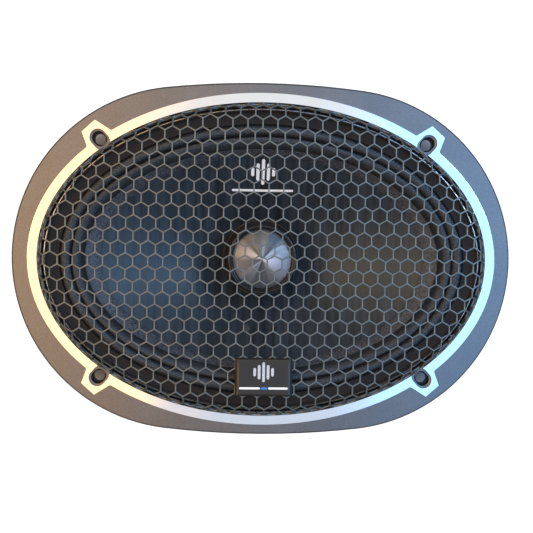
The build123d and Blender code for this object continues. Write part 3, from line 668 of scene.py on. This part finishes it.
def four_fold(quarter):
    """A closed outline from its first quadrant, mirrored both ways."""
    left = [(-x, y) for x, y in reversed(quarter)]
    top = quarter + left
    return top + [(x, -y) for x, y in reversed(top)]


def arc_of_ellipse(a, b, start, end, steps):
    return [
        (a * math.cos(start + (end - start) * i / steps), b * math.sin(start + (end - start) * i / steps))
        for i in range(steps + 1)
    ]


def ring_outer():
    """First quadrant of the ring's outside, with its ear."""
    a, b = RING_OUTER, RING_OUTER - OVALITY
    low, tip_low, tip_high, high = EAR_POINTS
    p = ellipse_meets_line(a, b, low, tip_low)
    q = ellipse_meets_line(a, b, high, tip_high)
    at_p = math.atan2(p[1] / b, p[0] / a)
    at_q = math.atan2(q[1] / b, q[0] / a)
    clear = 0.016
    before = arc_of_ellipse(a, b, 0.001, at_p - clear, 60)
    after = arc_of_ellipse(a, b, at_q + clear, math.pi / 2 - 0.001, 60)
    points = before + [p, tip_low, tip_high, q] + after
    radii = [0] * len(before) + [1.2, 0.3, 0.3, 1.2] + [0] * len(after)
    return rounded(points, radii)


def ring_inner():
    """First quadrant of the ring's inside, with the slot that opens into it."""
    a, b = RING_INNER, RING_INNER - OVALITY
    ux, uy = math.cos(SLOT_ANGLE), math.sin(SLOT_ANGLE)
    outer = (HOLE_X + SLOT_OUT * ux, HOLE_Y + SLOT_OUT * uy)
    inner = (HOLE_X - SLOT_IN * ux, HOLE_Y - SLOT_IN * uy)
    slot_deg = math.degrees(SLOT_ANGLE)

    def outside(point):
        return (point[0] / a) ** 2 + (point[1] / b) ** 2 > 1

    lower = [p for p in arc(inner, SLOT_R, slot_deg - 180, slot_deg - 90, 48) if outside(p)]
    upper = [p for p in arc(inner, SLOT_R, slot_deg + 90, slot_deg + 180, 48) if outside(p)]
    head = arc(outer, SLOT_R, slot_deg - 90, slot_deg + 90, 32)
    at_low = math.atan2(lower[0][1] / b, lower[0][0] / a)
    at_high = math.atan2(upper[-1][1] / b, upper[-1][0] / a)
    first = arc_of_ellipse(a, b, 0.001, at_low - 0.0004, 60)
    last = arc_of_ellipse(a, b, at_high + 0.0004, math.pi / 2 - 0.001, 60)
    return first + lower + head + upper + last


def plate_from_outlines(name, outlines, low, high, bevel, material, body):
    """A flat plate with small rounded edges, from an outline and the outlines of its holes."""
    curve = bpy.data.curves.new(name, "CURVE")
    curve.dimensions = "2D"
    curve.fill_mode = "BOTH"
    curve.extrude = (high - low) / 2 * MM - bevel * MM
    curve.bevel_depth = bevel * MM
    curve.bevel_resolution = 2
    curve.offset = -bevel * MM
    for outline in outlines:
        spline = curve.splines.new("POLY")
        spline.points.add(len(outline) - 1)
        for point, (x, y) in zip(spline.points, outline):
            point.co = (x * MM, y * MM, 0, 1)
        spline.use_cyclic_u = True
    shape = bpy.data.objects.new(name + "_outline", curve)
    bpy.context.scene.collection.objects.link(shape)
    shape.location.z = (low + high) / 2 * MM
    bpy.context.view_layer.update()
    graph = bpy.context.evaluated_depsgraph_get()
    mesh = bpy.data.meshes.new_from_object(shape.evaluated_get(graph))
    mesh.transform(shape.matrix_world)
    bpy.data.objects.remove(shape)
    bpy.data.curves.remove(curve)
    bm = bmesh.new()
    bm.from_mesh(mesh)
    bmesh.ops.remove_doubles(bm, verts=bm.verts, dist=1e-6)
    bmesh.ops.recalc_face_normals(bm, faces=bm.faces)
    bm.to_mesh(mesh)
    bm.free()
    mesh.name = name
    mesh.materials.clear()
    mesh.materials.append(material)
    mesh.shade_smooth()
    mesh.set_sharp_from_angle(angle=math.radians(12))
    obj = bpy.data.objects.new(name, mesh)
    bpy.context.scene.collection.objects.link(obj)
    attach(obj, body)
    return obj


def make_ring():
    """The bright band, with an ear and an open slot at each corner."""
    outlines = [four_fold(ring_outer()), four_fold(ring_inner())]
    ring = plate_from_outlines("trim_band", outlines, ring_low.z, RING_TOP, 0.1, trim, "basket")
    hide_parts("trim_ring")


# ---- gasket, surround, cone, spider -------------------------------------------------------
def make_gasket():
    """A flat rubber land with a glossy rolled bead along its outside."""
    base, top = gasket_low.z, gasket_high.z
    edge = GRILLE_SKIRT - SHEET - 0.9
    lip = (top - base) / 2 + 0.15
    land = base + 1.1
    section = [(GASKET_INNER, base), (edge - lip, base)]
    section += arc((edge - lip, base + lip), lip, -90, 150, 14)
    section += [(edge - 2 * lip - 0.5, land), (GASKET_INNER + 0.2, land), (GASKET_INNER, base + 0.9)]
    gasket = face_up(new_object("gasket_lip", *swept_oval(section, 256), [bead_gloss, rubber], "basket"))
    for polygon in gasket.data.polygons:
        a, _ = oval_place(polygon.center.x / MM, polygon.center.y / MM)
        polygon.material_index = 1 if a < edge - lip else 0
    gasket.data.set_sharp_from_angle(angle=math.radians(40))
    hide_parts("surround_gasket")


def roll_profile(steps=22):
    """The M-shaped roll from the gasket's inner edge to the cone's edge."""
    start = (GASKET_INNER - 0.2, 1.75)
    middle = (GASKET_INNER - 5.5, 1.35)
    end = (CONE_EDGE - 0.1, -1.15)
    points = [(GASKET_INNER + 6.9, start[1]), (GASKET_INNER + 0.8, start[1])]
    for (x1, z1), (x2, z2) in ((start, middle), (middle, end)):
        for k in range(steps + 1):
            t = math.pi * k / steps
            along = (1 - math.cos(t)) / 2
            points.append((x1 + (x2 - x1) * along, z1 + (z2 - z1) * along + ROLL_RISE * math.sin(t) ** 0.8))
    return points


def make_surround():
    """The cloth roll, with a skirt that closes on the cone's cut edge."""
    top = roll_profile()
    near, far, foot = CONE_EDGE + 0.03, CONE_EDGE + 0.3, CONE_EDGE_Z - 0.95
    skirt = [(near, top[-1][1] - 0.15), (near, foot), (far, foot)]
    under = [(a, z - 0.3) for a, z in reversed(top) if a > far + 0.05]
    section = top + skirt + under
    steps = 320
    verts, faces = swept_oval(section, steps)
    lengths = [0.0]
    for (a1, z1), (a2, z2) in zip(section, section[1:]):
        lengths.append(lengths[-1] + math.hypot(a2 - a1, z2 - z1))
    mid_roll = 91.5
    around = []
    total = 0.0
    for k in range(steps):
        around.append(total)
        x1, y1 = oval(mid_roll, math.tau * k / steps)
        x2, y2 = oval(mid_roll, math.tau * (k + 1) / steps)
        total += math.hypot(x2 - x1, y2 - y1)
    uvs = [(around[k], lengths[i]) for i in range(len(section)) for k in range(steps)]
    surround = face_up(new_object("surround_roll", verts, faces, cloth, uvs=uvs))
    surround.data.set_sharp_from_angle(angle=math.radians(50))
    outer, inner = GASKET_INNER, CONE_EDGE
    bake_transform(surround)
    share_travel(surround, lambda x, y: eased(oval_place(x, y)[0], outer, inner))
    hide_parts("surround")


def eased(place, fixed, moving):
    """0 at the fixed end and 1 at the moving end, with no kink at either."""
    t = min(max((fixed - place) / (fixed - moving), 0.0), 1.0)
    return t * t * (3 - 2 * t)


def share_travel(obj, share):
    """Works out each point's share of the moving body's travel, all the way round; the shares are not used.
    """
    shares = [share(v.co.x / MM, v.co.y / MM) for v in obj.data.vertices]


def cone_point(t, angle, lift):
    """A point of the cone's front, from its edge at 0 to its neck at 1."""
    ex, ey = oval(CONE_EDGE, angle)
    nx, ny = NECK_R * math.cos(angle), NECK_R * math.sin(angle)
    z = CONE_EDGE_Z + (NECK_Z - CONE_EDGE_Z) * t
    return ex + (nx - ex) * t, ey + (ny - ey) * t, z + lift


def make_cone():
    """The paper cone: a raised speckled band round its edge, then a straight flank to the neck."""
    steps = 256
    turns = [math.tau * k / steps for k in range(steps)]
    stations = [0.0, 0.012, 0.03, 0.06, 0.09, 0.105, 0.12, 0.16] + list(np.linspace(0.2, 1.0, 17))
    front, under = [], []
    for t in stations:
        step = -0.55 if t > 0.1 else 0.0
        rim = -0.35 if t < 0.005 else 0.0
        front.append([cone_point(t, angle, step + rim - 0.15) for angle in turns])
    for t in reversed(stations):
        under.append([cone_point(t, angle, -1.0) for angle in turns])
    verts, faces = loop_mesh(front + under, True)
    cone = new_object("cone_body", verts, faces, [pulp, band], "cone_assembly")
    band_rows = sum(1 for t in stations if t < 0.11) - 1
    for i, polygon in enumerate(cone.data.polygons):
        polygon.material_index = 1 if i // steps < band_rows else 0
    face_up(cone).data.set_sharp_from_angle(angle=math.radians(24))
    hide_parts("cone")


def on_cone(x, y, lift):
    """The cone's front under a point, by going down its straight flank."""
    low, high = 0.0, 1.0
    for _ in range(40):
        t = (low + high) / 2
        ax = CONE_EDGE + (NECK_R - CONE_EDGE) * t
        ay = (CONE_EDGE - OVALITY) + (NECK_R - CONE_EDGE + OVALITY) * t
        if (x / ax) ** 2 + (y / ay) ** 2 < 1:
            low = t
        else:
            high = t
    return x, y, CONE_EDGE_Z + (NECK_Z - CONE_EDGE_Z) * low + lift


def printed_bar(x1, y1, x2, y2, lift, where):
    """A small rounded bar, laid on a surface, as vertices and faces."""
    radius = min(x2 - x1, y2 - y1) / 2
    outline = []
    for cx, cy, start in (
        (x2 - radius, y2 - radius, 0),
        (x1 + radius, y2 - radius, 90),
        (x1 + radius, y1 + radius, 180),
        (x2 - radius, y1 + radius, 270),
    ):
        outline += arc((cx, cy), radius, start, start + 90, 5)
    cx, cy = (x1 + x2) / 2, (y1 + y2) / 2
    dense = []
    for p, q in zip(outline, outline[1:] + outline[:1]):
        cuts = max(1, int(math.dist(p, q) / 1.5))
        dense += [(p[0] + (q[0] - p[0]) * k / cuts, p[1] + (q[1] - p[1]) * k / cuts) for k in range(cuts)]
    count = len(dense)
    verts = [where(x, y, lift) for x, y in dense] + [where(x, y, 0) for x, y in dense]
    verts += [where(cx, cy, lift)]
    faces = [(k, (k + 1) % count, 2 * count) for k in range(count)]
    faces += [(k, k + count, (k + 1) % count + count, (k + 1) % count) for k in range(count)]
    return verts, faces


def gathered(parts):
    """Several meshes as one."""
    verts, faces = [], []
    for part_verts, part_faces in parts:
        base = len(verts)
        verts += part_verts
        faces += [tuple(base + i for i in face) for face in part_faces]
    return verts, faces


def make_cone_mark():
    """A plain printed mark: five bars over a thin line."""
    parts = []
    for i, half in enumerate((2.0, 4.0, 6.0, 4.0, 2.0)):
        x = (i - 2) * 2.6
        low, high = CONE_MARK_Y - half, CONE_MARK_Y + half
        parts.append(printed_bar(x - 0.8, low, x + 0.8, high, 0.08, on_cone_front))
    parts.append(printed_bar(-15.5, CONE_LINE_Y - 0.55, 15.5, CONE_LINE_Y + 0.55, 0.08, on_cone_front))
    mark = new_object("cone_print", *gathered(parts), white_print_painted_glow, "cone_assembly", smooth=False)


def on_cone_front(x, y, lift):
    """A height above the paper inside the band."""
    return on_cone(x, y, lift - 0.68)


def make_spider():
    """The corrugated disc, flat where it is glued at both ends."""
    inner, outer = former_high.x + 0.02, spider_high.x
    first_wave, last_wave, wave = 22.5, 44.6, 6.0
    middle_z = (spider_low.z + spider_high.z) / 2
    profile = []
    for k in range(121):
        r = inner + (outer - inner) * k / 120
        fade = min(max((r - first_wave) / 2, 0), 1) * min(max((last_wave - r) / 2, 0), 1)
        profile.append((r, middle_z + 0.3 + 1.25 * fade * math.cos((r - 23.0) * math.tau / wave)))
    section = profile + [(r, z - 0.5) for r, z in reversed(profile)]
    spider = face_up(new_object("spider_disc", *turned(section), weave))
    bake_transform(spider)
    share_travel(spider, lambda x, y: eased(math.hypot(x, y), 44.3, 22.0))
    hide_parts("spider")


# ---- tweeter ------------------------------------------------------------------------------
def make_dome():
    """A thin shell, part of a sphere."""
    rise = DOME_TOP_Z - DOME_RIM_Z
    sphere = (DOME_RIM**2 + rise**2) / (2 * rise)
    centre = DOME_TOP_Z - sphere
    reach = math.degrees(math.asin(DOME_RIM / sphere))
    outside = arc((0, centre), sphere, 90 - reach, 90, 40)[:-1]
    shell = 0.5
    inner_reach = math.degrees(math.acos((DOME_RIM_Z - centre) / (sphere - shell)))
    inside = arc((0, centre), sphere - shell, 90, 90 - inner_reach, 24)[1:]
    verts, faces = turned(outside + inside)
    gap = len(outside) - 1
    faces = [f for i, f in enumerate(faces) if i // ROUND != gap]
    tip, back = len(verts), len(verts) + 1
    verts += [(0, 0, centre + sphere), (0, 0, centre + sphere - shell)]
    for k in range(ROUND):
        m = (k + 1) % ROUND
        faces.append((gap * ROUND + k, gap * ROUND + m, tip))
        faces.append(((gap + 1) * ROUND + m, (gap + 1) * ROUND + k, back))
    dome = face_up(new_object("dome_shell", verts, faces, dome_metal, "tweeter_diaphragm"))
    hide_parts("tweeter_dome")


def make_tweeter_edge():
    """The soft edge between the dome and its clamped rim; the shares of the dome's travel, none at its
    outside and all at its inside, are worked out but not used.
    """
    seat = dome_low.z
    moving, still, outer = DOME_RIM - 0.1, BEZEL_BORE - 0.03, 15.28
    top = [(moving, DOME_RIM_Z + 0.04), (DOME_RIM, DOME_RIM_Z + 0.06)]
    top += [(still, seat + 0.2), (outer, seat + 0.2)]
    under = [(r, z - drop) for (r, z), drop in zip(reversed(top), (0.17, 0.17, 0.09, 0.05))]
    edge = face_up(new_object("tweeter_edge", *turned(top + under), satin_black))
    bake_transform(edge)
    share_travel(edge, lambda x, y: eased(math.hypot(x, y), still - 0.01, DOME_RIM + 0.02))
    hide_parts("tweeter_surround")


def make_bezel():
    """The black rim that holds the dome's edge down."""
    rim, wall, flange = bezel_high.x, 15.6, 2.2
    low, top = bezel_low.z, bezel_high.z
    section = [(BEZEL_BORE, low), (wall, low), (wall, top - flange), (rim, top - flange), (rim, top - 0.9)]
    section += arc((rim - 0.9, top - 0.9), 0.9, 10, 100, 10)
    section += arc((BEZEL_BORE + 0.6, top - 1.9), 0.6, 100, 180, 8)
    bezel = face_up(new_object("tweeter_rim", *turned(section), gloss_black, "basket"))
    bezel.data.set_sharp_from_angle(angle=math.radians(50))
    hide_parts("tweeter_bezel")


# ---- badge --------------------------------------------------------------------------------
def make_badge():
    """A glossy plate with softly falling edges, and a plain printed mark on it."""
    cx, cy = (badge_low.x + badge_high.x) / 2, (badge_low.y + badge_high.y) / 2
    half_w, half_h = (badge_high.x - badge_low.x) / 2, (badge_high.y - badge_low.y) / 2
    low, top = badge_low.z, badge_high.z
    across, up = 36, 28
    verts, faces = [], []
    for j in range(up + 1):
        v = -math.cos(math.pi * j / up)
        for i in range(across + 1):
            u = -math.cos(math.pi * i / across)
            edge_x = (1 - abs(u)) * half_w
            edge_y = (1 - abs(v)) * half_h
            lip_x = 1.7 * (1 - 0.75 * v**6)
            lip_y = 0.8 * (1 - 0.5 * u**8)
            fall = max(0.0, 1 - edge_x / lip_x) ** 1.6 * 0.9 + max(0.0, 1 - edge_y / lip_y) ** 1.6 * 0.7
            verts.append((cx + u * half_w, cy + v * half_h, top - min(fall, 1.5)))
    row = across + 1
    for j in range(up):
        for i in range(across):
            faces.append((j * row + i, j * row + i + 1, (j + 1) * row + i + 1, (j + 1) * row + i))
    rim = list(range(row)) + [j * row + across for j in range(1, up + 1)]
    rim += [up * row + i for i in range(across - 1, -1, -1)] + [j * row for j in range(up - 1, 0, -1)]
    base = len(verts)
    for i in rim:
        verts.append((verts[i][0], verts[i][1], low))
    count = len(rim)
    for k in range(count):
        m = (k + 1) % count
        faces.append((rim[m], rim[k], base + k, base + m))
    faces.append(tuple(base + k for k in reversed(range(count))))
    badge = face_up(new_object("badge_body", verts, faces, badge_black, "basket"))
    badge.data.set_sharp_from_angle(angle=math.radians(50))
    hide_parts("badge_plate")

    def flat(x, y, lift):
        return cx + x, cy + y, top + lift

    bars = []
    for i, half in enumerate((2.0, 3.4, 4.7, 3.4, 2.0)):
        x = (i - 2) * 2.1
        bars.append(printed_bar(x - 0.65, 2.6 - half, x + 0.65, 2.6 + half, 0.1, flat))
    mark = new_object("badge_bars", *gathered(bars), print_silver, "basket", smooth=False)
    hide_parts("badge_mark")
    white = [printed_bar(-11.5, -5.6, -1.6, -4.6, 0.1, flat), printed_bar(2.2, -5.6, 11.5, -4.6, 0.1, flat)]
    line = new_object("badge_line", *gathered(white), white_print_painted_glow, "basket", smooth=False)
    dash = printed_bar(-1.2, -5.7, 1.8, -4.5, 0.1, flat)
    blue = new_object("badge_dash", *dash, print_blue, "basket", smooth=False)


# ---- rear details -------------------------------------------------------------------------
def make_winding():
    """The voice coil: one layer of round wire."""
    low, high = node_box("voice_coil_winding")
    outer = high.x
    pitch = 0.4
    turns = int((high.z - low.z) / pitch)
    section = [(former_high.x, low.z)]
    for k in range(turns):
        z = low.z + (k + 0.5) * pitch
        section += arc((outer - pitch / 2, z), pitch / 2, -80, 80, 4)
    section += [(former_high.x, high.z)]
    copper = grained("copper_wire", (0.72, 0.30, 0.14), 0.28, 1.0, size=0.5, depth=0.02)
    winding = face_up(new_object("winding_wire", *turned(section), copper, "cone_assembly"))
    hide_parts("voice_coil_winding")


def make_capacitor():
    """The capacitor's can, with its crimped neck and recessed ends."""
    low, high = node_box("capacitor")
    cy, cz = (low.y + high.y) / 2, (low.z + high.z) / 2
    radius = (high.y - low.y) / 2
    length = high.x - low.x
    profile = [(0.02, 0.35), (3.2, 0.35), (3.5, 0.0), (4.4, 0.0), (radius, 0.7), (radius, 1.8)]
    profile += [(radius - 0.35, 2.3), (radius, 2.8), (radius, length - 0.7), (4.4, length), (3.5, length)]
    profile += [(3.2, length - 0.35), (0.02, length - 0.35)]
    turns = [math.tau * k / 64 for k in range(64)]
    rings = [
        [(low.x + along, cy + r * math.cos(t), cz + r * math.sin(t)) for t in turns] for r, along in profile
    ]
    sleeve = grained("sleeve_blue", (0.02, 0.035, 0.16), 0.3, size=0.8, depth=0.02)
    can = face_up(new_object("capacitor_can", *loop_mesh(rings, False), sleeve, "basket"))
    can.data.set_sharp_from_angle(angle=math.radians(40))
    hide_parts("capacitor")


def blend_leads():
    """The flexible leads, as copies of the CAD leads in copper braid."""
    for side in ("positive", "negative"):
        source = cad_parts["tinsel_lead_" + side]
        mesh = source.data.copy()
        mesh.materials.clear()
        mesh.materials.append(tinsel)
        lead = bpy.data.objects.new("tinsel_braid_" + side, mesh)
        bpy.context.scene.collection.objects.link(lead)
        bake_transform(lead)
        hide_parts("tinsel_lead_" + side)


make_grille()
make_ring()
make_gasket()
make_surround()
make_cone()
make_cone_mark()
make_spider()
make_dome()
make_tweeter_edge()
make_bezel()
make_badge()
make_winding()
make_capacitor()
blend_leads()


# ---- floor, light, camera -----------------------------------------------------------------
def make_floor():
    """A pale floor that glows a little outside an oval round the speaker; inside the oval the glow fades
    out and the colour darkens to a painted shadow.
    """
    look = Look("floor_white", (0.47, 0.47, 0.47), 0.9)
    look.set("Emission Color", (1, 1, 1, 1))
    where = look.node("ShaderNodeTexCoord")
    mapping = look.node("ShaderNodeMapping", vector_type="TEXTURE")
    mapping.inputs["Location"].default_value = [c * MM for c in (*SHADOW_CENTRE, 0)]
    mapping.inputs["Scale"].default_value = [c * MM for c in (*SHADOW_OVAL, 1e6)]
    look.link(where.outputs["Object"], mapping.inputs["Vector"])
    distance = look.length(mapping.outputs["Vector"])
    bright = look.ramp(look.noise(300.0, 2.0), [(0.3, (0.46, 0.46, 0.46)), (0.7, (0.48, 0.48, 0.48))])
    # Under the speaker the colour darkens to near black: a painted shadow.
    look.color(look.mix(look.grey(distance, 0.0, 1.0, 1.06, 1.22), (0.055, 0.052, 0.05), bright))
    # The glow fades out over the same oval, so the painted shadow stays dark.
    look.link(look.grey(distance, 0.0, 0.85, 1.15, 1.22), look.shader.inputs["Emission Strength"])
    side = 4000
    z = back_z - 0.02
    corners = [(-side, -side, z), (side, -side, z), (side, side, z), (-side, side, z)]
    floor = new_object("studio_floor", corners, [(0, 1, 2, 3)], look.mat)
    floor.visible_glossy = False


def softbox(name, x, y, radiance):
    """A level panel overhead, from its extent in metres and its brightness in red, green and blue."""
    light = bpy.data.lights.new(name, "AREA")
    light.shape = "RECTANGLE"
    light.size, light.size_y = x[1] - x[0], y[1] - y[0]
    peak = max(radiance)
    light.color = [part / peak for part in radiance]
    light.energy = 4 * peak * light.size * light.size_y  # watts for that radiance
    obj = bpy.data.objects.new(name, light)
    bpy.context.scene.collection.objects.link(obj)
    obj.location = (sum(x) / 2, sum(y) / 2, 0.79 if "window" in name else 0.8)
    obj.visible_camera = False


def make_lights():
    softbox("warm_left", (-1.10, -0.14), (-0.40, 0.80), (1.50, 0.86, 0.39))
    softbox("warm_window", (-0.90, -0.62), (-0.05, 0.25), (4.0, 2.7, 1.6))
    softbox("middle_top", (-0.14, 0.20), (-0.05, 0.80), (0.51, 0.52, 0.52))
    softbox("middle_bottom", (-0.14, 0.20), (-0.40, -0.05), (0.36, 0.42, 0.51))
    softbox("cool_right", (0.20, 1.30), (-0.40, 0.80), (0.37, 0.90, 1.80))
    softbox("cool_window", (0.60, 0.95), (0.15, 0.52), (3.4, 4.6, 5.8))
    world = bpy.data.worlds.new("studio")
    world.use_nodes = True
    world.node_tree.nodes["Background"].inputs["Color"].default_value = (0.9, 0.95, 1.0, 1)
    world.node_tree.nodes["Background"].inputs["Strength"].default_value = 0.2
    bpy.context.scene.world = world


def make_camera():
    data = bpy.data.cameras.new("camera")
    data.sensor_width = 36.0
    data.lens = 53.73
    data.clip_start = 0.01
    camera = bpy.data.objects.new("camera", data)
    bpy.context.scene.collection.objects.link(camera)
    right = Vector((0.9992, 0.01435, 0.03734))
    look = Vector((0.0380, -0.0498, -0.9980)).normalized()
    up = right.cross(look).normalized()
    right = look.cross(up).normalized()
    place = Vector((-0.0128, 0.0161, RING_TOP * MM + 0.3795))
    turn = Matrix((right, up, -look)).transposed().to_4x4()
    camera.matrix_world = Matrix.Translation(place) @ turn
    bpy.context.scene.camera = camera


make_floor()
make_lights()
make_camera()
bpy.context.scene.view_settings.view_transform = "Standard"
